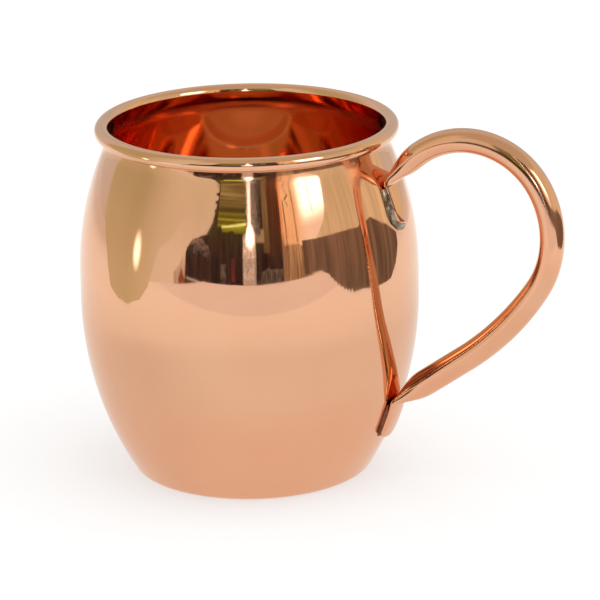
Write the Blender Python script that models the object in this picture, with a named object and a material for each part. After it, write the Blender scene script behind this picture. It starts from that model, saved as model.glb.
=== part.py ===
"""Barrel-shaped copper mug: a spun cup with a rolled rim, and a soldered tube handle.

Frame: the origin is at the centre of the flat bottom, +Z is up and the handle is on +X.
The dimensions below are in millimetres. The model is built in metres.
"""
from math import asin, atan2, cos, hypot, pi, radians, sin, sqrt

import bmesh
import bpy
from mathutils import Vector

MM = 0.001

# Cup. The sheet is one thickness from the bottom to the curled rim.
SHEET = 0.9              # sheet thickness
BELLY_RADIUS = 44.4      # outside, at the widest
BELLY_LOW = 47.0         # the belly is straight from here
BELLY_HIGH = 54.0        # to here
LOWER_ARC = 88.5         # radius of the side's curve under the belly
UPPER_ARC = 80.0         # radius of the side's curve over the belly
FOOT_CORNER = 2.7        # outside radius where the side meets the flat bottom
NECK_START = 86.5        # height at which the side turns back to upright
NECK_BEND = 10.0         # outside radius of that turn
RIM_CENTRE = 91.85       # height of the rolled rim's centre
RIM_TUBE = 1.9           # outside radius of the rolled rim's round
RIM_CURL = radians(290)  # how far the edge is rolled round
CUP_SIDES = 56
SHARP_EDGE = radians(40)  # edges that turn more than this aren't shaded smooth

# Handle. A round tube, bent to a loop, with both ends pressed flat against the cup.
TUBE_IN_PLANE = 3.15     # half the tube's size in the plane of the loop, on the tight arch
TUBE_ACROSS = 3.65       # half its size across the loop there
RUN_SIZE = 3.5           # half the tube's size on the lower run, where it is round
TUBE_WALL = 0.8
TONGUE_HALF = 0.75       # half the thickness of a flattened end
TONGUE_ACROSS = 5.1      # half its width
TONGUE_WALL = 0.55       # each of its two layers, which leave a slit between them
GAP = 0.3                # kept between neighbouring pieces
UPPER_TIP, UPPER_BEND = 69.9, 80.0    # heights of the upper tongue's ends
LOWER_TIP, LOWER_BEND = 12.6, 21.8    # heights of the lower tongue's ends
UPPER_CORNER, LOWER_CORNER = 4.4, 2.6  # radii of the tongues' rounded tips
TONGUE_BEND = 2.5        # centreline radius where a tongue turns into the loop
ARCH_HEADING = radians(45)                 # the tube's direction as it leaves the upper bend
ARCH_START = 5.8                           # straight stretch before the arch
ARCH_ARCS = ((21.9, 106.5), (25.9, 61.2), (75.0, 21.0))  # radius and turn in degrees
UPPER_OPENING, LOWER_OPENING = 12.0, 11.5  # lengths over which the flat ends open to round
SPRING = 1.7             # more makes the tube open sooner after its flat end
RUN_START, RUN_BLEND = 62.0, 30.0  # from the upper bend, where the arch's size turns to the run's
PRESS_FLAT = 1.5         # more makes a pressed tube's flat faces wider
HANDLE_SIDES = 16
ARCH_STEP = 4.0          # length of the arch between two rings, about

# Solder beads round the tongues: their reach over the wall and up the tongue's edge.
UPPER_SOLDER = (1.9, 1.1)
LOWER_SOLDER = (0.8, 0.9)


def wall_radius(z):
    """The outside radius of the cup's side at height z."""
    if z < BELLY_LOW:
        return BELLY_RADIUS - LOWER_ARC + sqrt(LOWER_ARC ** 2 - (BELLY_LOW - z) ** 2)
    if z > BELLY_HIGH:
        return BELLY_RADIUS - UPPER_ARC + sqrt(UPPER_ARC ** 2 - (z - BELLY_HIGH) ** 2)
    return BELLY_RADIUS


def wall_tilt(z):
    """The angle of the side's outward normal above the horizontal at height z."""
    if z < BELLY_LOW:
        return -asin((BELLY_LOW - z) / LOWER_ARC)
    if z > BELLY_HIGH:
        return asin((z - BELLY_HIGH) / UPPER_ARC)
    return 0.0


def arc(centre, radius, start, end, steps, outward=1):
    """Points on an arc, each with the unit normal that faces out of the sheet."""
    points = []
    for i in range(steps + 1):
        a = start + (end - start) * i / steps
        normal = Vector((cos(a), sin(a)))
        points.append((Vector(centre) + radius * normal, outward * normal))
    return points


def cup_outside():
    """The outer face of the sheet, from the centre of the bottom to the end of the curl."""
    foot = asin((BELLY_LOW - FOOT_CORNER) / (LOWER_ARC - FOOT_CORNER))
    lower_centre = (BELLY_RADIUS - LOWER_ARC, BELLY_LOW)
    foot_centre = (lower_centre[0] + (LOWER_ARC - FOOT_CORNER) * cos(foot), FOOT_CORNER)
    upper_centre = (BELLY_RADIUS - UPPER_ARC, BELLY_HIGH)
    lean = asin((NECK_START - BELLY_HIGH) / UPPER_ARC)
    reach = UPPER_ARC + NECK_BEND
    neck_centre = (upper_centre[0] + reach * cos(lean), upper_centre[1] + reach * sin(lean))
    hollow = RIM_TUBE - SHEET
    rim_centre = (neck_centre[0] - NECK_BEND + hollow, RIM_CENTRE)
    points = [(Vector((0, 0)), Vector((0, -1)))]
    points += arc(foot_centre, FOOT_CORNER, -pi / 2, -foot, 4)
    points += arc(lower_centre, LOWER_ARC, -foot, 0, 9)[1:]
    points += arc(upper_centre, UPPER_ARC, 0, lean, 6)
    points += arc(neck_centre, NECK_BEND, pi + lean, pi, 3, -1)[1:]
    points += arc(rim_centre, hollow, pi, pi - RIM_CURL, 12, -1)
    return points


def material(name, colour, roughness, metallic):
    made = bpy.data.materials.new(name)
    made.use_nodes = True
    shader = made.node_tree.nodes["Principled BSDF"]
    shader.inputs["Base Color"].default_value = (*colour, 1)
    shader.inputs["Roughness"].default_value = roughness
    shader.inputs["Metallic"].default_value = metallic
    made.diffuse_color = (*colour, 1)
    return made


def add_object(name, bm, surface):
    """Make a mesh object from a bmesh in millimetres."""
    bmesh.ops.recalc_face_normals(bm, faces=bm.faces)
    bmesh.ops.scale(bm, vec=(MM, MM, MM), verts=bm.verts)
    mesh = bpy.data.meshes.new(name)
    bm.to_mesh(mesh)
    bm.free()
    mesh.materials.append(surface)
    mesh.shade_smooth()
    mesh.set_sharp_from_angle(angle=SHARP_EDGE)
    made = bpy.data.objects.new(name, mesh)
    bpy.context.scene.collection.objects.link(made)
    return made


def make_cup(surface):
    """The sheet's section, outer face then inner face, turned once round the axis."""
    outside = cup_outside()
    section = [p for p, n in outside] + [p - SHEET * n for p, n in reversed(outside)]
    bm = bmesh.new()
    verts = [bm.verts.new((p.x, 0, p.y)) for p in section]
    edges = [bm.edges.new(pair) for pair in zip(verts, verts[1:])]
    bmesh.ops.spin(bm, geom=verts + edges, cent=(0, 0, 0), axis=(0, 0, 1),
                   angle=2 * pi, steps=CUP_SIDES, use_merge=True)
    bmesh.ops.remove_doubles(bm, verts=bm.verts, dist=0.001)
    return add_object("cup", bm, surface)


def tongue_path(start, end, steps):
    """A tongue's centreline, which follows the side from one height to another."""
    off = GAP + TONGUE_HALF
    points = []
    for i in range(steps + 1):
        z = start + (end - start) * i / steps
        tilt = wall_tilt(z)
        heading = tilt + (pi / 2 if end > start else -pi / 2)
        points.append((wall_radius(z) + off * cos(tilt), z + off * sin(tilt), heading))
    return points


def bend(path, radius, turn, steps):
    """Go on along an arc from the path's end; a positive turn is to the left."""
    x, z, heading = path[-1]
    side = radius if turn > 0 else -radius
    for i in range(1, steps + 1):
        new = heading + turn * i / steps
        path.append((x + side * (sin(new) - sin(heading)),
                     z - side * (cos(new) - cos(heading)), new))


def straight(path, length, steps):
    x, z, heading = path[-1]
    for i in range(1, steps + 1):
        along = length * i / steps
        path.append((x + along * cos(heading), z + along * sin(heading), heading))


def handle_path():
    """The centreline (x, z, heading), and the path indexes of the two tongues' bends."""
    path = tongue_path(UPPER_TIP, UPPER_BEND, 8)
    upper = len(path) - 1
    bend(path, TONGUE_BEND, ARCH_HEADING - path[-1][2], 4)
    straight(path, ARCH_START, 3)
    for radius, degrees in ARCH_ARCS:
        turn = radians(degrees)
        bend(path, radius, -turn, max(4, round(radius * turn / ARCH_STEP)))
    tongue = tongue_path(LOWER_BEND, LOWER_TIP, 8)
    # The run goes straight to the point from which one bend ends in the lower tongue.
    x, z, heading = path[-1]
    turn = tongue[0][2] % (2 * pi) - heading % (2 * pi)
    back = TONGUE_BEND * abs(sin(turn / 2)) / cos(turn / 2)
    corner = (tongue[0][0] - back * cos(tongue[0][2]), tongue[0][1] - back * sin(tongue[0][2]))
    heading = atan2(corner[1] - z, corner[0] - x)
    path[-1] = (x, z, heading)
    straight(path, hypot(corner[0] - x, corner[1] - z) - back, 4)
    bend(path, TONGUE_BEND, tongue[0][2] % (2 * pi) - heading % (2 * pi), 3)
    lower = len(path) - 1
    return path + tongue[1:], upper, lower


def ease(value):
    """A smooth step from 0 to 1."""
    value = min(1.0, max(0.0, value))
    return value * value * (3 - 2 * value)


def opened(value):
    """How far a pressed tube has sprung open, from 0 to 1: quickly at first, then slowly."""
    value = min(1.0, max(0.0, value))
    return ease(1 - (1 - value) ** SPRING)


def handle_sections():
    """Half thickness, half width, wall and hug of the tube at each point of its path."""
    path, upper, lower = handle_path()
    walked = [0.0]
    for (x0, z0, _), (x1, z1, _) in zip(path, path[1:]):
        walked.append(walked[-1] + hypot(x1 - x0, z1 - z0))
    sections = []
    for i, (x, z, heading) in enumerate(path):
        open_up = min(opened((walked[i] - walked[upper]) / UPPER_OPENING),
                      opened((walked[lower] - walked[i]) / LOWER_OPENING))
        run = ease((walked[i] - walked[upper] - RUN_START) / RUN_BLEND)
        in_plane = TUBE_IN_PLANE + (RUN_SIZE - TUBE_IN_PLANE) * run
        across = TUBE_ACROSS + (RUN_SIZE - TUBE_ACROSS) * run
        thick = TONGUE_HALF + (in_plane - TONGUE_HALF) * open_up
        width = TONGUE_ACROSS + (across - TONGUE_ACROSS) * open_up
        wall = TONGUE_WALL + (TUBE_WALL - TONGUE_WALL) * open_up
        for tip, corner in ((walked[i], UPPER_CORNER), (walked[-1] - walked[i], LOWER_CORNER)):
            if tip < corner:
                width += sqrt(corner ** 2 - (corner - tip) ** 2) - corner
        sections.append((x, z, heading, thick, width, wall, 1 - open_up))
    return sections


def tube_ring(bm, x, z, heading, thick, width, hug):
    """One ring of the tube: a circle drawn out sideways, wrapped to the cup by hug."""
    ring = []
    for i in range(HANDLE_SIDES):
        a = 2 * pi * i / HANDLE_SIDES
        flat = max(0.0, width - thick)
        y = flat * min(1.0, max(-1.0, PRESS_FLAT * cos(a))) + min(thick, width) * cos(a)
        out = thick * sin(a)
        around = wall_radius(z) + GAP + TONGUE_HALF
        drop = hug * (around - sqrt(around ** 2 - y ** 2))
        ring.append(bm.verts.new((x + out * sin(heading) - drop, y, z - out * cos(heading))))
    return ring


def make_handle(surface):
    """The tube's outer and inner faces, joined by the open ends' rims."""
    bm = bmesh.new()
    outer, inner = [], []
    for x, z, heading, thick, width, wall, hug in handle_sections():
        outer.append(tube_ring(bm, x, z, heading, thick, width, hug))
        inner.append(tube_ring(bm, x, z, heading, thick - wall, width - wall, hug))
    rings = outer + inner[::-1]
    for one, two in zip(rings, rings[1:] + rings[:1]):
        for i in range(HANDLE_SIDES):
            j = (i + 1) % HANDLE_SIDES
            bm.faces.new((one[i], one[j], two[j], two[i]))
    return add_object("handle", bm, surface)


def tongue_outline(tip, crease, corner, off, steps=5):
    """The tongue's edge (y, z) grown by off: up one side, round the tip, up the other."""
    side = TONGUE_ACROSS + off
    turn = corner + off
    way = 1 if crease > tip else -1
    half = [(side, crease)]
    for i in range(steps + 1):
        a = pi / 2 * i / steps
        half.append((side - turn + turn * cos(a), tip + way * (corner - turn * sin(a))))
    return half + [(-y, z) for y, z in reversed(half)]


def on_wall(y, z, height):
    """A point over the cup's side, at y across, height z and a height over the surface."""
    tilt = wall_tilt(z)
    out = wall_radius(z) + height * cos(tilt)
    return Vector((sqrt(out ** 2 - y ** 2), y, z + height * sin(tilt)))


def make_solder(name, surface, tip, crease, corner, reach):
    """A bead of triangular section along a tongue's edge."""
    bm = bmesh.new()
    width, height = reach
    section = ((GAP, GAP), (GAP + width, GAP), (GAP, GAP + height))
    outlines = [tongue_outline(tip, crease, corner, off) for off, up in section]
    rings = []
    for spots in zip(*outlines):
        rings.append([bm.verts.new(on_wall(y, z, up))
                      for (y, z), (off, up) in zip(spots, section)])
    for one, two in zip(rings, rings[1:]):
        for i in range(len(section)):
            j = (i + 1) % len(section)
            bm.faces.new((one[i], one[j], two[j], two[i]))
    bm.faces.new(rings[0][::-1])
    bm.faces.new(rings[-1])
    return add_object(name, bm, surface)


def main():
    for old in list(bpy.data.objects):
        bpy.data.objects.remove(old, do_unlink=True)
    copper = material("polished_copper", (0.86, 0.50, 0.34), 0.12, 1.0)
    tube_copper = material("tube_copper", (0.84, 0.48, 0.32), 0.16, 1.0)
    grey_solder = material("grey_solder", (0.42, 0.41, 0.37), 0.4, 1.0)
    brown_solder = material("brown_solder", (0.28, 0.15, 0.09), 0.5, 1.0)
    make_cup(copper)
    make_handle(tube_copper)
    make_solder("upper_solder", grey_solder, UPPER_TIP, UPPER_BEND, UPPER_CORNER, UPPER_SOLDER)
    make_solder("lower_solder", brown_solder, LOWER_TIP, LOWER_BEND, LOWER_CORNER, LOWER_SOLDER)


main()
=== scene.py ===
"""Looks of the copper mug: fine meshes, polished copper, a pale studio floor and soft light.

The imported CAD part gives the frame: metres, +Z up, the flat bottom's centre at the origin and
the handle on +X. The shapes repeat the CAD part's formulas in millimetres with finer steps.
"""
from math import asin, atan2, ceil, cos, hypot, pi, radians, sin, sqrt

import bmesh
import bpy
from mathutils import Matrix, Vector


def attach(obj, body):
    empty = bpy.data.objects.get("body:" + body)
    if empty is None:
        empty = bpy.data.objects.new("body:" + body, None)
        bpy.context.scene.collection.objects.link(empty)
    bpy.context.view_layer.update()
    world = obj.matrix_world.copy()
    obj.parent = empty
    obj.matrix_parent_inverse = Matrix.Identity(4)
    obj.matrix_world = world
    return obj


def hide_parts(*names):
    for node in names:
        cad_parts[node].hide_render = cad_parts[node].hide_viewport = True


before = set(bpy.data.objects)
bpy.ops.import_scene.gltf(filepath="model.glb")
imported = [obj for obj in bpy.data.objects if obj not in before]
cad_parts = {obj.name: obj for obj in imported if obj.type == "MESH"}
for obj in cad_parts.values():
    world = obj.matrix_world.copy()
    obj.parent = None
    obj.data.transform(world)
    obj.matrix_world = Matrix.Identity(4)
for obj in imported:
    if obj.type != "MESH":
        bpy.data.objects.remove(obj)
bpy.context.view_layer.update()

MM = 0.001
scene = bpy.context.scene

# Camera: where it stands round the mug, in metres, and how far it is turned from the middle.
AZIMUTH, ELEVATION, ROLL = radians(23.5), radians(17.41), radians(-1.21)
DISTANCE, TARGET_HEIGHT = 1.0, 0.047
AIM_RIGHT, AIM_UP = 0.01309, -0.00251
LENS, SENSOR = 228.3, 36.0
NEAREST, FURTHEST = 0.05, 20.0

# Cup, in millimetres, as in the CAD part.
SHEET = 0.9
BELLY_RADIUS, BELLY_LOW, BELLY_HIGH = 44.398, 47.0, 54.0
LOWER_ARC, UPPER_ARC = 88.5, 80.0
FOOT_CORNER = 2.7
NECK_START, NECK_BEND = 86.5, 10.0
RIM_CENTRE, RIM_TUBE, RIM_CURL = 91.85, 1.9, radians(290)
CUP_SIDES = 288
BOTTOM_STEPS, FOOT_STEPS, LOWER_STEPS, UPPER_STEPS, NECK_STEPS, RIM_STEPS = 12, 10, 44, 32, 16, 40

# Handle, in millimetres, as in the CAD part.
TUBE_IN_PLANE, TUBE_ACROSS, RUN_SIZE = 3.12, 3.62, 3.47
TUBE_WALL, TONGUE_HALF, TONGUE_ACROSS, TONGUE_WALL, GAP = 0.8, 0.75, 5.1, 0.55, 0.3
UPPER_TIP, UPPER_BEND = 69.9, 80.0
LOWER_TIP, LOWER_BEND = 12.6, 21.8
UPPER_CORNER, LOWER_CORNER = 4.4, 2.6
TONGUE_BEND = 2.5
ARCH_HEADING, ARCH_START = radians(45), 5.8
ARCH_ARCS = ((21.9, 106.5), (25.9, 61.2), (75.0, 21.0))     # radius and degrees of each
UPPER_OPENING, LOWER_OPENING = 12.0, 11.5
SPRING = 1.7             # how much faster the tube springs open at first
PRESS_FLAT = 1.5         # how soon a pressed tube's flat sides turn into its round edges
RUN_START, RUN_BLEND = 62.0, 30.0
HANDLE_SIDES = 48
HANDLE_STEP = 0.6        # length of the tube between two rings
TONGUE_STEPS = 24

# Solder fillets, in millimetres: reach over the wall, and up the tongue's edge.
UPPER_SOLDER, LOWER_SOLDER = (1.5, 1.25), (0.45, 0.75)
SIDE_STEPS, CORNER_STEPS, FILLET_STEPS = 14, 14, 7
LUMPY_WIDTH, LUMPY_HEIGHT = 0.13, 0.08
THIN_END, THINNING = 0.45, 5         # its size at both ends, and the steps that it thins over
UNDER_EDGE = -0.25       # where its back is, inside the tongue's edge
BACK_LOW, BACK_HIGH = 0.05, 0.8      # the back's foot, and its top as a share of the height
OFF_WALL = 0.02          # its height over the wall

# An edge stays sharp where two faces meet at more than this angle.
SHEET_EDGE, SOLDER_EDGE = radians(40), radians(50)

# Places that the polishing wheel missed, in metres: a corner of the wall over the upper joint,
# with the distances where its dullness is full and gone, and the neck, with the heights where
# its dullness starts, is full, begins to fade and is gone.
JOINT_CORNER, JOINT_DULLNESS = (0.0352, -0.0138, 0.0855), 0.16
JOINT_NEAR, JOINT_FAR = 0.001, 0.005
NECK_DULL = (0.0845, 0.0875, 0.0885, 0.0905)

# Studio: the heights and radii of cards are in millimetres, the light's size in metres.
TOP = 1300               # where most cards end that go on up out of sight
CARD_STEP = 3            # degrees of a curved card that one flat face may span
UNDER_FLOOR = -0.3       # the mirrored table's height
PAPER_DRIFT = 0.985      # the darkest that clean paper gets
LIGHT_SIZE, LIGHT_POWER = 1.3, 6.0
BOUNCES, MIRROR_BOUNCES = 16, 14     # copper mirrors copper many times inside the mouth


# ---------------------------------------------------------------- shapes

def wall_radius(z):
    """The outside radius of the cup's side at height z."""
    if z < BELLY_LOW:
        return BELLY_RADIUS - LOWER_ARC + sqrt(LOWER_ARC ** 2 - (BELLY_LOW - z) ** 2)
    if z > BELLY_HIGH:
        return BELLY_RADIUS - UPPER_ARC + sqrt(UPPER_ARC ** 2 - (z - BELLY_HIGH) ** 2)
    return BELLY_RADIUS


def wall_tilt(z):
    """The angle of the side's outward normal above the horizontal at height z."""
    if z < BELLY_LOW:
        return -asin((BELLY_LOW - z) / LOWER_ARC)
    if z > BELLY_HIGH:
        return asin((z - BELLY_HIGH) / UPPER_ARC)
    return 0.0


def arc(centre, radius, start, end, steps, outward=1):
    """Points on an arc, each with the unit normal that faces out of the sheet."""
    points = []
    for i in range(steps + 1):
        a = start + (end - start) * i / steps
        normal = Vector((cos(a), sin(a)))
        points.append((Vector(centre) + radius * normal, outward * normal))
    return points


def cup_outside():
    """The outer face of the sheet, from the bottom's middle to the end of the curl."""
    foot = asin((BELLY_LOW - FOOT_CORNER) / (LOWER_ARC - FOOT_CORNER))
    lower_centre = (BELLY_RADIUS - LOWER_ARC, BELLY_LOW)
    foot_centre = (lower_centre[0] + (LOWER_ARC - FOOT_CORNER) * cos(foot), FOOT_CORNER)
    upper_centre = (BELLY_RADIUS - UPPER_ARC, BELLY_HIGH)
    lean = asin((NECK_START - BELLY_HIGH) / UPPER_ARC)
    reach = UPPER_ARC + NECK_BEND
    neck_centre = (upper_centre[0] + reach * cos(lean), upper_centre[1] + reach * sin(lean))
    hollow = RIM_TUBE - SHEET
    rim_centre = (neck_centre[0] - NECK_BEND + hollow, RIM_CENTRE)
    down = Vector((0, -1))
    points = [(Vector((foot_centre[0] * i / BOTTOM_STEPS, 0)), down)
              for i in range(BOTTOM_STEPS)]
    points += arc(foot_centre, FOOT_CORNER, -pi / 2, -foot, FOOT_STEPS)
    points += arc(lower_centre, LOWER_ARC, -foot, 0, LOWER_STEPS)[1:]
    points += arc(upper_centre, UPPER_ARC, 0, lean, UPPER_STEPS)
    points += arc(neck_centre, NECK_BEND, pi + lean, pi, NECK_STEPS, -1)[1:]
    points += arc(rim_centre, hollow, pi, pi - RIM_CURL, RIM_STEPS, -1)
    return points


def add_mesh(name, bm, surfaces):
    """Turn a bmesh into an object in the scene."""
    mesh = bpy.data.meshes.new(name)
    bm.to_mesh(mesh)
    bm.free()
    for surface in surfaces:
        mesh.materials.append(surface)
    made = bpy.data.objects.new(name, mesh)
    scene.collection.objects.link(made)
    return made


def add_piece(name, bm, surfaces, sharp=SHEET_EDGE):
    """Turn a bmesh in millimetres into a smoothly shaded piece of the mug."""
    bmesh.ops.recalc_face_normals(bm, faces=bm.faces)
    bmesh.ops.scale(bm, vec=(MM, MM, MM), verts=bm.verts)
    made = add_mesh(name, bm, surfaces)
    made.data.shade_smooth()
    made.data.set_sharp_from_angle(angle=sharp)
    return made


def make_cup(outer, inner):
    """The sheet's section, outer face then inner face, turned once round the axis."""
    outside = cup_outside()
    section = [p for p, n in outside] + [p - SHEET * n for p, n in reversed(outside)]
    turns = [2 * pi * i / CUP_SIDES for i in range(CUP_SIDES)]
    bm = bmesh.new()
    rings = []
    for p in section:
        if p.x < 0.001:     # the bottom's middle
            rings.append([bm.verts.new((0, 0, p.y))])
            continue
        rings.append([bm.verts.new((p.x * cos(a), p.x * sin(a), p.y)) for a in turns])
    for k, (one, two) in enumerate(zip(rings, rings[1:])):
        for i in range(CUP_SIDES):
            j = (i + 1) % CUP_SIDES
            corners = [two[i % len(two)], two[j % len(two)], one[j % len(one)], one[i % len(one)]]
            face = bm.faces.new(list(dict.fromkeys(corners)))
            face.material_index = 0 if k < len(outside) else 1
    return add_piece("cup_body", bm, [outer, inner])


def tongue_path(start, end):
    """A tongue's centreline, which follows the side from one height to another."""
    off = GAP + TONGUE_HALF
    points = []
    for i in range(TONGUE_STEPS + 1):
        z = start + (end - start) * i / TONGUE_STEPS
        tilt = wall_tilt(z)
        heading = tilt + (pi / 2 if end > start else -pi / 2)
        points.append((wall_radius(z) + off * cos(tilt), z + off * sin(tilt), heading))
    return points


def bend(path, radius, turn):
    """Go on along an arc from the path's end; a positive turn is to the left."""
    x, z, heading = path[-1]
    side = radius if turn > 0 else -radius
    steps = max(8, ceil(abs(radius * turn) / HANDLE_STEP))
    for i in range(1, steps + 1):
        new = heading + turn * i / steps
        path.append((x + side * (sin(new) - sin(heading)),
                     z - side * (cos(new) - cos(heading)), new))


def straight(path, length):
    """Go straight on from the path's end."""
    x, z, heading = path[-1]
    steps = ceil(length / HANDLE_STEP)
    for i in range(1, steps + 1):
        along = length * i / steps
        path.append((x + along * cos(heading), z + along * sin(heading), heading))


def handle_path():
    """The centreline (x, z, heading), and the path indexes of the two tongues' bends."""
    path = tongue_path(UPPER_TIP, UPPER_BEND)
    upper = len(path) - 1
    bend(path, TONGUE_BEND, ARCH_HEADING - path[-1][2])
    straight(path, ARCH_START)
    for radius, degrees in ARCH_ARCS:
        bend(path, radius, -radians(degrees))
    tongue = tongue_path(LOWER_BEND, LOWER_TIP)
    # The run goes straight to the point from which one bend ends in the lower tongue.
    x, z, heading = path[-1]
    turn = tongue[0][2] % (2 * pi) - heading % (2 * pi)
    back = TONGUE_BEND * abs(sin(turn / 2)) / cos(turn / 2)
    corner = (tongue[0][0] - back * cos(tongue[0][2]), tongue[0][1] - back * sin(tongue[0][2]))
    heading = atan2(corner[1] - z, corner[0] - x)
    path[-1] = (x, z, heading)
    straight(path, hypot(corner[0] - x, corner[1] - z) - back)
    bend(path, TONGUE_BEND, tongue[0][2] % (2 * pi) - heading % (2 * pi))
    lower = len(path) - 1
    return path + tongue[1:], upper, lower


def ease(value):
    """A smooth step from 0 to 1."""
    value = min(1.0, max(0.0, value))
    return value * value * (3 - 2 * value)


def opened(value):
    """How far a pressed tube has sprung open, from 0 to 1: quickly at first, then slowly."""
    value = min(1.0, max(0.0, value))
    return ease(1 - (1 - value) ** SPRING)


def tube_ring(x, z, heading, thick, width, hug):
    """One ring of the tube: a circle drawn out sideways, wrapped to the cup by hug."""
    ring = []
    around = wall_radius(z) + GAP + TONGUE_HALF
    flat = max(0.0, width - thick)
    for i in range(HANDLE_SIDES):
        a = 2 * pi * i / HANDLE_SIDES
        y = flat * min(1.0, max(-1.0, PRESS_FLAT * cos(a))) + min(thick, width) * cos(a)
        out = thick * sin(a)
        drop = hug * (around - sqrt(around ** 2 - y ** 2))
        ring.append(Vector((x + out * sin(heading) - drop, y, z - out * cos(heading))))
    return ring


def handle_rings():
    """The tube's outer rings, its inner rings, and the length walked to each."""
    path, upper, lower = handle_path()
    walked = [0.0]
    for (x0, z0, _), (x1, z1, _) in zip(path, path[1:]):
        walked.append(walked[-1] + hypot(x1 - x0, z1 - z0))
    outer, inner = [], []
    for i, (x, z, heading) in enumerate(path):
        open_up = min(opened((walked[i] - walked[upper]) / UPPER_OPENING),
                      opened((walked[lower] - walked[i]) / LOWER_OPENING))
        run = ease((walked[i] - walked[upper] - RUN_START) / RUN_BLEND)
        in_plane = TUBE_IN_PLANE + (RUN_SIZE - TUBE_IN_PLANE) * run
        across = TUBE_ACROSS + (RUN_SIZE - TUBE_ACROSS) * run
        thick = TONGUE_HALF + (in_plane - TONGUE_HALF) * open_up
        width = TONGUE_ACROSS + (across - TONGUE_ACROSS) * open_up
        wall = TONGUE_WALL + (TUBE_WALL - TONGUE_WALL) * open_up
        for tip, corner in ((walked[i], UPPER_CORNER), (walked[-1] - walked[i], LOWER_CORNER)):
            if tip < corner:
                width += sqrt(corner ** 2 - (corner - tip) ** 2) - corner
        outer.append(tube_ring(x, z, heading, thick, width, 1 - open_up))
        inner.append(tube_ring(x, z, heading, thick - wall, width - wall, 1 - open_up))
    return outer, inner, walked


def make_handle(surface):
    """The tube's outer and inner faces, joined by the open ends' rims, with lengthwise UVs."""
    outer, inner, walked = handle_rings()
    bm = bmesh.new()
    uv = bm.loops.layers.uv.new("run")
    rings = [[bm.verts.new(p) for p in ring] for ring in outer + inner[::-1]]
    lengths = walked + walked[::-1]
    for k in range(len(rings)):
        nxt = (k + 1) % len(rings)
        for i in range(HANDLE_SIDES):
            j = (i + 1) % HANDLE_SIDES
            face = bm.faces.new((rings[k][i], rings[k][j], rings[nxt][j], rings[nxt][i]))
            spots = ((k, i), (k, i + 1), (nxt, i + 1), (nxt, i))
            for loop, (at, side) in zip(face.loops, spots):
                loop[uv].uv = (lengths[at] * MM, side / HANDLE_SIDES)
    return add_piece("handle_tube", bm, [surface])


def tongue_outline(tip, crease, corner, off):
    """The tongue's edge (y, z) grown by off: up one side, round the tip, up the other."""
    side = TONGUE_ACROSS + off
    turn = corner + off
    way = 1 if crease > tip else -1
    half = [(side, crease + (tip + way * corner - crease) * i / SIDE_STEPS)
            for i in range(SIDE_STEPS)]
    for i in range(CORNER_STEPS + 1):
        a = pi / 2 * i / CORNER_STEPS
        half.append((side - turn + turn * cos(a), tip + way * (corner - turn * sin(a))))
    return half + [(-y, z) for y, z in reversed(half)]


def on_wall(y, z, height):
    """A point over the cup's side, at y across, height z and a height over the surface."""
    tilt = wall_tilt(z)
    out = wall_radius(z) + height * cos(tilt)
    return Vector((sqrt(out ** 2 - y ** 2), y, z + height * sin(tilt)))


def make_solder(name, surface, tip, crease, corner, reach, lump):
    """A concave fillet along a tongue's edge, a little lumpy, from the wall up to the tongue.

    The width and height are in reach, and lump says where along the edge the lumps fall.
    """
    bm = bmesh.new()
    rings = []
    count = len(tongue_outline(tip, crease, corner, 0.0))
    for at in range(count):
        wave = 0.6 * sin(at * 0.47 + lump) + 0.4 * sin(at * 1.13 + 2 * lump)
        whole = ease(at / THINNING) * ease((count - 1 - at) / THINNING)
        size = THIN_END + (1 - THIN_END) * whole
        width = reach[0] * (1 + LUMPY_WIDTH * wave) * size
        height = reach[1] * (1 + LUMPY_HEIGHT * wave) * size
        turns = [pi / 2 * i / FILLET_STEPS for i in range(FILLET_STEPS + 1)]
        section = [(width * (1 - sin(a)), height * (1 - cos(a))) for a in turns]
        section += [(UNDER_EDGE, height * BACK_HIGH), (UNDER_EDGE, BACK_LOW)]
        ring = []
        for off, up in section:
            y, z = tongue_outline(tip, crease, corner, round(off, 4))[at]
            ring.append(bm.verts.new(on_wall(y, z, up + OFF_WALL)))
        rings.append(ring)
    for one, two in zip(rings, rings[1:]):
        for i in range(len(one)):
            j = (i + 1) % len(one)
            bm.faces.new((one[i], one[j], two[j], two[i]))
    bm.faces.new(rings[0][::-1])
    bm.faces.new(rings[-1])
    return add_piece(name, bm, [surface], SOLDER_EDGE)


# ---------------------------------------------------------------- materials

def node(tree, kind, values=None, **properties):
    """Add a node; values are inputs by name or index, each a number, a colour or a socket."""
    made = tree.nodes.new(kind)
    for key, value in properties.items():
        setattr(made, key, value)
    for key, value in (values or {}).items():
        if isinstance(value, bpy.types.NodeSocket):
            tree.links.new(value, made.inputs[key])
        else:
            made.inputs[key].default_value = value
    return made


def maths(tree, operation, *values):
    """A Math node's output."""
    return node(tree, "ShaderNodeMath", dict(enumerate(values)), operation=operation).outputs[0]


def measured(tree, operation, *vectors):
    """The number from a Vector Math node, such as a length or a dot product."""
    return node(tree, "ShaderNodeVectorMath", dict(enumerate(vectors)),
                operation=operation).outputs["Value"]


def position(tree):
    """Where the shaded point is, in metres in the mug's frame."""
    return node(tree, "ShaderNodeTexCoord").outputs["Object"]


def height_of(tree, vector):
    """A vector's z."""
    return node(tree, "ShaderNodeSeparateXYZ", {0: vector}).outputs[2]


def vector_from(tree, x, y, z):
    """Three numbers as one vector."""
    return node(tree, "ShaderNodeCombineXYZ", {0: x, 1: y, 2: z}).outputs[0]


def scaled(tree, vector, scale):
    """A vector with its x, y and z each multiplied by its own scale."""
    return node(tree, "ShaderNodeMapping", {0: vector, 3: scale}).outputs[0]


def noise(tree, vector, scale, detail=3.0, roughness=0.5):
    """A noise texture's value, mostly between 0.3 and 0.7."""
    values = {"Vector": vector, "Scale": scale, "Detail": detail, "Roughness": roughness}
    return node(tree, "ShaderNodeTexNoise", values).outputs["Fac"]


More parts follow.
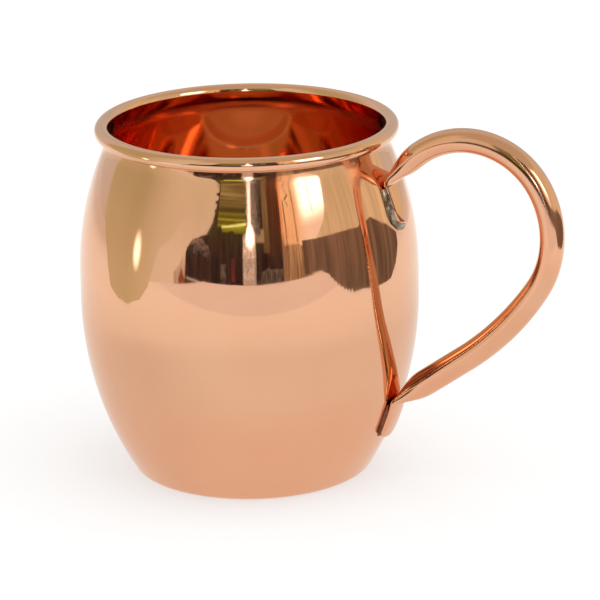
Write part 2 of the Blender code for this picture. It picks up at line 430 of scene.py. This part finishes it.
def ranged(tree, value, low, high, out_low, out_high, smooth=True):
    """A value between low and high, moved to between out_low and out_high."""
    kind = "SMOOTHSTEP" if smooth else "LINEAR"
    values = {0: value, 1: low, 2: high, 3: out_low, 4: out_high}
    return node(tree, "ShaderNodeMapRange", values, interpolation_type=kind).outputs[0]


def mixed(tree, factor, one, two, blend="MIX"):
    """Two colours mixed."""
    values = {0: factor, 6: one, 7: two}
    return node(tree, "ShaderNodeMix", values, data_type="RGBA", blend_type=blend).outputs[2]


def brightened(tree, colour, amount):
    """A colour multiplied by a number."""
    grey = node(tree, "ShaderNodeCombineColor", {0: amount, 1: amount, 2: amount}).outputs[0]
    return mixed(tree, 1.0, colour, grey, "MULTIPLY")


def bumps(tree, *layers):
    """A normal from several layers of bump, each a height and its depth in metres."""
    normal = None
    for height, depth in layers:
        values = {"Height": height, "Distance": depth}
        if normal:
            values["Normal"] = normal
        normal = node(tree, "ShaderNodeBump", values).outputs[0]
    return normal


def new_material(name):
    """A new material, with its node tree and its shader."""
    made = bpy.data.materials.new(name)
    made.use_nodes = True
    return made, made.node_tree, made.node_tree.nodes["Principled BSDF"]


def make_metal(tree, shader, colour, roughness, normal):
    """Make the shader a bare metal."""
    shader.inputs["Metallic"].default_value = 1.0
    tree.links.new(colour, shader.inputs["Base Color"])
    tree.links.new(roughness, shader.inputs["Roughness"])
    tree.links.new(normal, shader.inputs["Normal"])


def rounds(tree, spot, slow, fast):
    """Coordinates that change slowly round the axis and fast down the side."""
    x, y, z = node(tree, "ShaderNodeSeparateXYZ", {0: spot}).outputs[:3]
    reach = maths(tree, "SQRT", maths(tree, "ADD", maths(tree, "MULTIPLY", x, x),
                                      maths(tree, "MULTIPLY", y, y)))
    reach = maths(tree, "MAXIMUM", reach, 0.0005)       # so that nothing is divided by 0
    # On the flat bottom z doesn't change, so the distance from the axis counts too.
    down = maths(tree, "SUBTRACT", z, maths(tree, "MULTIPLY", reach, 0.35))
    return vector_from(tree, maths(tree, "MULTIPLY", maths(tree, "DIVIDE", x, reach), slow),
                       maths(tree, "MULTIPLY", maths(tree, "DIVIDE", y, reach), slow),
                       maths(tree, "MULTIPLY", down, fast))


def copper_parts(tree, spot, light, deep, rough):
    """Colour that drifts between two tones of copper, and faint smears in the polish."""
    drift = noise(tree, spot, 34.0, 4.0, 0.55)
    colour = mixed(tree, ranged(tree, drift, 0.3, 0.7, 0.0, 1.0), deep, light)
    smear = noise(tree, spot, 90.0, 5.0, 0.6)
    return colour, ranged(tree, smear, 0.35, 0.75, *rough)


def polished_copper(name, light, deep, rough, marks, neck):
    """Lathe-polished sheet: faint rings of polishing marks round the axis, duller in the neck.

    The depths of marks are for slow waves in the sheet, for the rings and for fine scratches.
    """
    made, tree, shader = new_material(name)
    spot = position(tree)
    colour, roughness = copper_parts(tree, spot, light, deep, rough)
    wavy = noise(tree, spot, 60.0, 1.0, 0.4)
    rings = noise(tree, rounds(tree, spot, 5.0, 1500.0), 1.0, 2.0, 0.6)
    scratches = noise(tree, rounds(tree, spot, 40.0, 9000.0), 1.0, 2.0, 0.7)
    scratched = ranged(tree, scratches, 0.62, 0.8, 0.0, 0.05)
    corner = ranged(tree, measured(tree, "DISTANCE", spot, JOINT_CORNER), JOINT_NEAR, JOINT_FAR,
                    JOINT_DULLNESS, 0.0)
    up = height_of(tree, spot)
    into_neck = maths(tree, "MULTIPLY", ranged(tree, up, *NECK_DULL[:2], 0.0, neck),
                      ranged(tree, up, *NECK_DULL[2:], 1.0, 0.0))
    for duller in (scratched, corner, into_neck):
        roughness = maths(tree, "ADD", roughness, duller)
    normal = bumps(tree, (wavy, marks[0]), (rings, marks[1]), (scratches, marks[2]))
    make_metal(tree, shader, colour, roughness, normal)
    return made


def tube_copper():
    """Polished tube: marks that run lengthwise, and a little more wear than the cup."""
    made, tree, shader = new_material("tube_copper")
    spot = position(tree)
    colour, roughness = copper_parts(tree, spot, (0.86, 0.47, 0.30, 1), (0.82, 0.42, 0.25, 1),
                                     (0.08, 0.15))
    run = node(tree, "ShaderNodeUVMap", uv_map="run").outputs[0]
    marks = noise(tree, scaled(tree, run, (120.0, 60.0, 1.0)), 1.0, 3.0, 0.6)
    wavy = noise(tree, spot, 110.0, 1.0, 0.4)
    normal = bumps(tree, (wavy, 0.00006), (marks, 0.000004))
    make_metal(tree, shader, colour, roughness, normal)
    return made


def solder(name, bright, dull, rough):
    """Cast metal with a grainy skin, bright and dull in patches that fall at random."""
    made, tree, shader = new_material(name)
    spot = position(tree)
    patches = noise(tree, spot, 420.0, 4.0, 0.6)
    grain = noise(tree, spot, 2600.0, 3.0, 0.6)
    colour = mixed(tree, ranged(tree, patches, 0.38, 0.62, 0.0, 1.0), dull, bright)
    roughness = ranged(tree, grain, 0.3, 0.7, *rough)
    make_metal(tree, shader, colour, roughness,
               bumps(tree, (patches, 0.00004), (grain, 0.000008)))
    return made


# ---------------------------------------------------------------- studio

def around(degrees, radius, height):
    """A place in the studio: degrees to the camera's right, seen from the mug; millimetres."""
    a = AZIMUTH + radians(degrees)
    return Vector((radius * sin(a), -radius * cos(a), height)) * MM


# Directions of one metre, to measure along: towards the camera, and to its right.
TOWARDS, RIGHTWARDS = tuple(around(0, 1000, 0)), tuple(around(90, 1000, 0))


def only_reflected(made):
    """Show it only in reflections, so that it gives the floor no light or shadow."""
    made.visible_camera = False
    made.visible_diffuse = False
    made.visible_shadow = False
    made.visible_transmission = False


def glow(name, low, high, heights=(0, 1000), streaks=None, change=None):
    """A lit card's emission: a low and a high colour, which blend between two heights.

    Its soft streaks are how fine they are across, how fine upwards, and how strong. The function
    change gets the node tree, the position and the colour, and gives a new colour.
    """
    made, tree, shader = new_material(name)
    tree.nodes.remove(shader)
    spot = position(tree)
    up = ranged(tree, height_of(tree, spot), heights[0] * MM, heights[1] * MM, 0.0, 1.0)
    colour = mixed(tree, up, (*low, 1), (*high, 1))
    if streaks:
        across, rise, depth = streaks
        pattern = noise(tree, scaled(tree, spot, (across, across, rise)), 1.0, 3.0, 0.6)
        shade = ranged(tree, pattern, 0.3, 0.7, 1.0 - depth, 1.0 + depth, smooth=False)
        colour = brightened(tree, colour, shade)
    if change:
        colour = change(tree, spot, colour)
    lamp = node(tree, "ShaderNodeEmission", {"Color": colour})
    tree.links.new(lamp.outputs[0], tree.nodes["Material Output"].inputs["Surface"])
    return made


def card(name, radius, columns, surface):
    """A curved upright card: columns of (degrees, low, high), joined from left to right."""
    bm = bmesh.new()
    pairs = []
    for (a0, low0, high0), (a1, low1, high1) in zip(columns, columns[1:]):
        steps = max(1, ceil((a1 - a0) / CARD_STEP))
        at_end = a1 == columns[-1][0]
        for i in range(steps + 1 if at_end else steps):
            t = i / steps
            a = a0 + (a1 - a0) * t
            pairs.append([bm.verts.new(around(a, radius, low0 + (low1 - low0) * t)),
                          bm.verts.new(around(a, radius, high0 + (high1 - high0) * t))])
    for one, two in zip(pairs, pairs[1:]):
        bm.faces.new((one[0], two[0], two[1], one[1]))
    made = add_mesh(name, bm, [surface])
    only_reflected(made)


def sheet(name, corners, height, surface):
    """A flat sheet with its corners given as the camera sees them: right and away from it."""
    turn = Matrix.Rotation(AZIMUTH, 4, "Z")
    bm = bmesh.new()
    bm.faces.new([bm.verts.new(turn @ Vector((x, y, height)) * MM) for x, y in corners])
    made = add_mesh(name, bm, [surface])
    return made


def paper(name, colour, lit=0.0, patches=()):
    """Matt white paper with a faint tooth; lit is the light that comes through it from below.

    Each patch is painted light or painted shade: a colour, its centre, and the distances from it
    where it is full and gone.
    """
    made, tree, shader = new_material(name)
    shader.inputs["Emission Color"].default_value = (1, 1, 1, 1)
    shader.inputs["Emission Strength"].default_value = lit
    shader.inputs["Specular IOR Level"].default_value = 0.1
    spot = position(tree)
    tone = ranged(tree, noise(tree, spot, 7.0), 0.3, 0.7, 0.0, 1.0)
    darker = tuple(c * PAPER_DRIFT for c in colour)
    shade = mixed(tree, tone, (*darker, 1), (*colour, 1))
    for tint, centre, full, gone in patches:
        amount = ranged(tree, measured(tree, "DISTANCE", spot, centre), full, gone, 1.0, 0.0)
        shade = mixed(tree, amount, shade, (*tint, 1))
    tree.links.new(shade, shader.inputs["Base Color"])
    tree.links.new(ranged(tree, noise(tree, spot, 300.0), 0.3, 0.7, 0.85, 0.95),
                   shader.inputs["Roughness"])
    return made


def board_look(tree, spot, colour):
    """The board turns as pale as the wall towards the camera, and a small lamp's light is painted
    on it.
    """
    nearer = measured(tree, "DOT_PRODUCT", spot, TOWARDS)
    colour = mixed(tree, ranged(tree, nearer, 0.03, 0.135, 0.0, 1.0), colour,
                   (0.78, 0.78, 0.64, 1))
    # A painted pool of lamp light on the board, brightest at this spot.
    lamp_spot = around(-73.5, 190, 66)
    to_lamp = node(tree, "ShaderNodeVectorMath", {0: spot, 1: tuple(lamp_spot)},
                   operation="SUBTRACT").outputs[0]
    away = measured(tree, "LENGTH", scaled(tree, to_lamp, (1.0, 1.0, 0.5)))
    return mixed(tree, ranged(tree, away, 0.002, 0.013, 1.0, 0.0), colour, (2.8, 3.0, 2.8, 1))


def window_look(tree, spot, colour):
    """Slats and what is behind them: fine level stripes, and broader ones."""
    fine = noise(tree, scaled(tree, spot, (0.3, 0.3, 62.0)), 1.0, 1.0)
    broad = noise(tree, scaled(tree, spot, (0.6, 0.6, 12.0)), 1.0, 1.0)
    bars = maths(tree, "MULTIPLY", ranged(tree, fine, 0.35, 0.65, 0.5, 1.55),
                 ranged(tree, broad, 0.35, 0.65, 0.65, 1.35))
    return brightened(tree, colour, bars)


def daylight_look(tree, spot, colour):
    """A streak of daylight with a lamp hanging in it, all of it broken up into specks."""
    streak_at, streak_low, streak_high = 0.009, 0.40, 0.46
    lamp_at, lamp_height, lamp_tallness = 0.018, 0.405, 0.65
    across = measured(tree, "DOT_PRODUCT", spot, RIGHTWARDS)
    up = height_of(tree, spot)
    tall = scaled(tree, spot, (150.0, 150.0, 45.0))
    speckle = ranged(tree, noise(tree, tall, 1.0, 3.0, 0.6), 0.35, 0.65, 0.15, 1.85)
    # A haze under the lamp, brightest just below it.
    below = ranged(tree, up, 0.36, 0.44, 0.42, 0.025)
    brighter = ranged(tree, up, 0.12, 0.37, 0.7, 1.7)
    haze = maths(tree, "MULTIPLY", speckle, maths(tree, "MULTIPLY", below, brighter))
    # The streak over the lamp.
    beside = maths(tree, "ABSOLUTE", maths(tree, "SUBTRACT", across, streak_at))
    streak = maths(tree, "MULTIPLY", ranged(tree, beside, 0.006, 0.046, 2.2, 0.0),
                   ranged(tree, up, streak_low, streak_high, 0.0, 1.0))
    streak = maths(tree, "MULTIPLY", streak, ranged(tree, speckle, 0.15, 1.85, 0.45, 1.3))
    # The lamp's flare, and specks of it that thin out to both sides.
    to_lamp = vector_from(tree, maths(tree, "SUBTRACT", across, lamp_at), 0.0,
                          maths(tree, "MULTIPLY", maths(tree, "SUBTRACT", up, lamp_height),
                                lamp_tallness))
    flare = ranged(tree, measured(tree, "LENGTH", to_lamp), 0.015, 0.10, 6.0, 0.0)
    dots = ranged(tree, noise(tree, spot, 150.0, 1.0, 0.6), 0.60, 0.66, 0.0, 3.2)
    dots = maths(tree, "MULTIPLY", dots, ranged(tree, beside, 0.05, 0.19, 1.0, 0.25))
    total = maths(tree, "ADD", maths(tree, "ADD", haze, streak), maths(tree, "ADD", flare, dots))
    return brightened(tree, colour, total)


def softbox_look(tree, spot, colour):
    """The softbox's light thins out towards the orange panel."""
    across = measured(tree, "DOT_PRODUCT", spot, RIGHTWARDS)
    return mixed(tree, ranged(tree, across, 0.83, 0.99, 0.0, 1.0), (1.08, 0.90, 0.64, 1), colour)


def make_cards():
    """The room round the mug, as its polished sides show it."""
    wall = glow("wall_light", (0.84, 0.84, 0.76), (0.76, 0.77, 0.62), (0, 900),
                (3.0, 0.3, 0.04))
    card("wall", 1600, ((-72, -700, 1500), (-20, -700, 1500)), wall)

    board = glow("board_light", (0.66, 0.65, 0.44), (0.55, 0.56, 0.36), (20, 150),
                 (9.0, 1.0, 0.06), board_look)
    card("board", 190, ((-116, 113, 420), (-113, 92, 420), (-109, 69, 420), (-101, 46, 420),
                        (-96.5, 16, 420), (-89.5, 8, 420), (-81, 6, 420), (-70.5, 15, 420),
                        (-64, 32, 420), (-57, 79, 420), (-50, 93, 420), (-42, 125, 420)), board)

    dark = glow("room_light", (0.05, 0.034, 0.034), (0.07, 0.06, 0.035), (0, 600),
                (11.0, 1.2, 0.6))
    card("room", 1500, ((-43, -600, 190), (-42.4, -600, 240), (-39, -600, 330),
                        (-29, -600, 412), (-25.6, -600, 534), (-23, -600, 793),
                        (-22.6, -600, 1400), (26, -600, 1400)), dark)

    window = glow("window_light", (0.22, 0.25, 0.03), (0.23, 0.21, 0.09), (520, 800),
                  change=window_look)
    card("window", 1480, ((-22, 490, TOP), (-2, 500, TOP)), window)
    sill = glow("sill_light", (1.1, 1.5, 0.55), (1.2, 1.65, 0.6))
    card("sill", 1470, ((-19, 486, 505), (-2.1, 522, 552)), sill)
    under_sill = glow("under_sill_light", (0.18, 0.23, 0.03), (0.34, 0.46, 0.05), (440, 500))
    card("under_sill", 1475, ((-18.4, 442, 500), (-14, 450, 510), (-11.5, 470, 515),
                              (-10, 440, 520), (-3, 442, 530)), under_sill)

    daylight = glow("daylight_light", (1.0, 1.0, 1.0), (1.0, 1.0, 1.0), change=daylight_look)
    card("daylight", 1460, ((-4.3, -70, 430), (-2.2, -70, 440), (-2.19, -70, TOP),
                            (4.3, -70, TOP), (4.31, 400, TOP), (8.3, 420, TOP)), daylight)

    post = glow("post_light", (0.16, 0.12, 0.06), (0.24, 0.19, 0.11), (250, 700),
                (30.0, 2.0, 0.25))
    card("post", 1470, ((9.8, 240, TOP), (14.0, 240, TOP)), post)
    notice = glow("notice_light", (0.40, 0.36, 0.24), (0.46, 0.42, 0.28))
    card("notice", 1468, ((5.0, 345, 476), (10.5, 345, 476)), notice)
    door = glow("door_light", (0.08, 0.045, 0.03), (0.14, 0.065, 0.032), (200, 950),
                (26.0, 1.0, 0.35))
    card("door", 1472, ((11.5, 200, 300), (14.0, 200, TOP), (23.6, 200, TOP)), door)
    edge = glow("edge_light", (0.34, 0.24, 0.16), (1.0, 0.52, 0.28), (250, 480),
                (30.0, 2.0, 0.3))
    card("edge", 1465, ((22.6, -70, 420), (23.7, -70, TOP), (25.9, -70, TOP)), edge)
    panel = glow("panel_light", (1.04, 0.76, 0.47), (1.08, 0.86, 0.56), (300, 900),
                 (40.0, 6.0, 0.12))
    card("panel", 1460, ((24.3, 290, 420), (26.4, 290, TOP), (42, 262, TOP)), panel)
    stripes = glow("stripes_light", (0.38, 0.28, 0.17), (0.46, 0.35, 0.22), (0, 300),
                   (70.0, 2.0, 0.9))
    card("stripes", 1465, ((26, -70, 290), (42, -70, 262)), stripes)

    softbox = glow("softbox_light", (1.12, 1.06, 0.96), (3.6, 3.6, 3.6), (400, 640),
                   change=softbox_look)
    card("softbox", 1450, ((35, 256, TOP), (41.8, 242, TOP), (46.9, 279, TOP),
                           (54.2, 405, TOP), (56.9, 508, TOP), (59.5, 719, TOP),
                           (61.2, 850, TOP)), softbox)
    seam = glow("gap_light", (0.5, 0.4, 0.35), (0.9, 0.75, 0.62), (300, 1000))
    card("softbox_seam", 1440, ((47.2, 520, TOP), (47.8, 520, TOP)), seam)
    gold = glow("gold_light", (0.80, 0.76, 0.55), (0.72, 0.69, 0.48), (200, 900),
                (10.0, 0.4, 0.16))
    card("gold_wall", 1550, ((40, -500, 1400), (126, -500, 1400)), gold)
    brown = glow("band_light", (0.19, 0.15, 0.115), (0.22, 0.165, 0.125), (20, 100),
                 (70.0, 5.0, 0.42))
    # The near part of its lower edge is frayed.
    frayed = [(50 + 2.3 * i + 1.2 * j, 13 + 31 * (1 - i / 7) ** 1.6 - 6 * j, 102 - 0.8 * i)
              for i in range(8) for j in range(2)]
    card("band", 250, ((34, 50, 106), (44, 53, 103), *frayed, (75, 7, 92), (82, 3, 91.5),
                       (88, 1, 91), (98, 1, 71), (102, 2, 65), (108, 15, 52),
                       (112, 32, 44)), brown)

    # Small things in the room: slat ends by the window, wires, cloth and boxes.
    for i in range(5):
        low = 560 + 92 * i
        card(f"slat_end_{i}", 1495, ((-25.0, low, low + 22), (-22.5, low - 8, low + 46)), dark)
    wire = glow("wire_light", (0.16, 0.09, 0.06), (0.16, 0.09, 0.06))
    for i in range(6):
        low, sway = 640 + 75 * i, 1.1 * (-1) ** i
        card(f"wire_{i}", 1445, ((28.5 + sway, low, low + 24),
                                 (29.6 - sway, low + 56, low + 80)), wire)
    card("wire_long", 1445, ((33.0, 290, 1100), (33.6, 290, 1100)), wire)
    card("wire_left", 1445, ((25.6, 240, 700), (26.3, 240, 760)), wire)
    cloth = glow("cloth_light", (0.10, 0.09, 0.10), (0.34, 0.29, 0.27), (210, 400),
                 (24.0, 30.0, 0.8))
    card("cloth", 1490, ((-40.5, 205, 300), (-37, 190, 345), (-32, 205, 352), (-27.5, 165, 290),
                         (-26, 150, 200)), cloth)
    curtain = glow("curtain_light", (0.55, 0.50, 0.44), (0.72, 0.66, 0.56), (-60, 200),
                   (30.0, 2.0, 0.25))
    card("curtain", 1520, ((-51, -200, -20), (-47, -200, 60), (-44, -200, 180),
                           (-42, -200, 230)), curtain)
    cone = glow("cone_light", (0.30, 0.10, 0.06), (0.34, 0.13, 0.08), (-90, 40))
    card("cone", 1485, ((-47.5, -200, -60), (-45.6, -200, 42), (-43, -200, -60)), cone)
    ledge = glow("ledge_light", (0.62, 0.60, 0.58), (0.62, 0.60, 0.58))
    card("ledge", 1440, ((-42, -48, -28), (-36, -62, -44), (-31, -72, -62)), ledge)
    boxes = glow("boxes_light", (0.11, 0.10, 0.095), (0.15, 0.14, 0.13), (-80, 120),
                 (40.0, 12.0, 0.8))
    card("boxes", 1480, ((7.5, -200, 40), (13, -200, 95), (13.2, -200, 70), (22, -200, 62)),
         boxes)
    card("shelf", 1480, ((-19, -200, 130), (-15.5, -200, 130)), boxes)
    crimson = glow("crimson_light", (0.16, 0.05, 0.05), (0.12, 0.05, 0.05), (-40, 200))
    card("crimson", 1475, ((-12, -40, 190), (-9.5, -40, 190)), crimson)


def make_floor():
    """The floor that the camera sees, and the table that the mug mirrors, just under it."""
    lit = paper("lit_paper", (0.42, 0.42, 0.42), 0.56)
    floor = sheet("floor", ((-4000, -4000), (4000, -4000), (4000, 4000), (-4000, 4000)),
                  0.0, lit)
    floor.visible_glossy = False
    floor.visible_shadow = False

    # Painted light and shade on the mirrored table: warm light from the copper painted close
    # round the foot, a painted soft shadow at the left, a painted brighter ring a hand's width
    # out, and the far table, which is greyer.
    foot, shadow = tuple(around(0, 0, 0)), tuple(around(-74, 110, 0))
    white = paper("painted_light_paper", (0.85, 0.84, 0.81),
                  patches=(((0.84, 0.75, 0.69), foot, 0.048, 0.088),
                           ((0.76, 0.74, 0.71), shadow, 0.0, 0.115),
                           ((0.95, 0.96, 0.93), foot, 0.225, 0.13),
                           ((0.70, 0.69, 0.66), foot, 0.85, 0.30)))
    grey = paper("grey_paper", (0.86, 0.84, 0.85))
    only_reflected(sheet("table", ((-410, -232), (900, -200), (900, 1600), (-1600, 1600),
                                   (-1600, 60), (-410, 20)), UNDER_FLOOR, white))
    only_reflected(sheet("table_front", ((-410, -700), (900, -700), (900, -200), (-410, -232)),
                         UNDER_FLOOR, grey))


def make_light():
    """A large soft light over the mug, towards the camera's right, and an even pale room."""
    data = bpy.data.lights.new("softlight", "AREA")
    data.shape = "RECTANGLE"
    data.size, data.size_y = LIGHT_SIZE, LIGHT_SIZE
    data.energy = LIGHT_POWER
    lamp = bpy.data.objects.new("softlight", data)
    lamp.location = around(60, 500, 1450)
    lamp.rotation_euler = (-lamp.location).to_track_quat("-Z", "Y").to_euler()
    lamp.visible_glossy = False
    scene.collection.objects.link(lamp)

    world = bpy.data.worlds.new("studio")
    world.use_nodes = True
    scene.world = world
    tree = world.node_tree
    back = tree.nodes["Background"]
    spot = node(tree, "ShaderNodeTexCoord").outputs["Generated"]
    forward = measured(tree, "DOT_PRODUCT", spot, TOWARDS)
    colour = mixed(tree, ranged(tree, height_of(tree, spot), 0.4, 0.95, 0.0, 1.0),
                   (0.60, 0.59, 0.46, 1), (0.58, 0.55, 0.44, 1))
    behind = ranged(tree, forward, -0.62, -0.3, 1.0, 0.0)
    colour = mixed(tree, behind, colour, (0.68, 0.69, 0.67, 1))
    straight_back = ranged(tree, forward, -0.98, -0.72, 1.0, 0.0)
    colour = mixed(tree, straight_back, colour, (0.58, 0.59, 0.54, 1))
    # Only mirrored rays see the room's colours; to all others it is white.
    mirrored = node(tree, "ShaderNodeLightPath").outputs["Is Glossy Ray"]
    tree.links.new(mixed(tree, mirrored, (1.0, 1.0, 1.0, 1), colour), back.inputs["Color"])


def make_camera():
    """Place the camera, turn it a little off the mug's middle, and roll it."""
    back = Vector((sin(AZIMUTH) * cos(ELEVATION), -cos(AZIMUTH) * cos(ELEVATION),
                   sin(ELEVATION)))
    right = Vector((cos(AZIMUTH), sin(AZIMUTH), 0))
    up = back.cross(right)
    out = (back - AIM_RIGHT * right - AIM_UP * up).normalized()
    rolled = right * cos(ROLL) + up * sin(ROLL)
    rolled = (rolled - rolled.dot(out) * out).normalized()
    data = bpy.data.cameras.new("camera")
    data.lens, data.sensor_width = LENS, SENSOR
    data.clip_start, data.clip_end = NEAREST, FURTHEST
    camera = bpy.data.objects.new("camera", data)
    turn = Matrix((rolled, out.cross(rolled), out)).transposed().to_4x4()
    place = Vector((0, 0, TARGET_HEIGHT)) + DISTANCE * back
    camera.matrix_world = Matrix.Translation(place) @ turn
    scene.collection.objects.link(camera)
    scene.camera = camera


def main():
    """Build the mug's four pieces, then the studio."""
    outer = polished_copper("polished_copper", (0.86, 0.475, 0.30, 1), (0.835, 0.45, 0.28, 1),
                            rough=(0.03, 0.075), marks=(0.00005, 0.0000012, 0.0000004),
                            neck=0.03)
    inner = polished_copper("inside_copper", (0.86, 0.49, 0.31, 1), (0.83, 0.46, 0.28, 1),
                            rough=(0.05, 0.09), marks=(0.00003, 0.0000004, 0.0000001),
                            neck=0.14)
    cup = make_cup(outer, inner)
    handle = make_handle(tube_copper())
    grey = solder("grey_solder", (0.37, 0.32, 0.24, 1), (0.18, 0.12, 0.07, 1), (0.17, 0.32))
    upper = make_solder("solder_upper", grey, UPPER_TIP, UPPER_BEND, UPPER_CORNER,
                        UPPER_SOLDER, 0.9)
    brown = solder("brown_solder", (0.24, 0.10, 0.06, 1), (0.11, 0.045, 0.028, 1), (0.35, 0.6))
    lower = make_solder("solder_lower", brown, LOWER_TIP, LOWER_BEND, LOWER_CORNER,
                        LOWER_SOLDER, 2.3)
    pieces = ((cup, "cup", "polished_copper"), (handle, "handle", "tube_copper"),
              (upper, "upper_solder", "grey_solder"), (lower, "lower_solder", "brown_solder"))
    for piece, cad_node, slot in pieces:
        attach(piece, "root")
        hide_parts(cad_node)
    make_floor()
    make_cards()
    make_light()
    make_camera()
    scene.view_settings.view_transform = "Standard"
    scene.cycles.max_bounces = BOUNCES
    scene.cycles.glossy_bounces = MIRROR_BOUNCES


main()
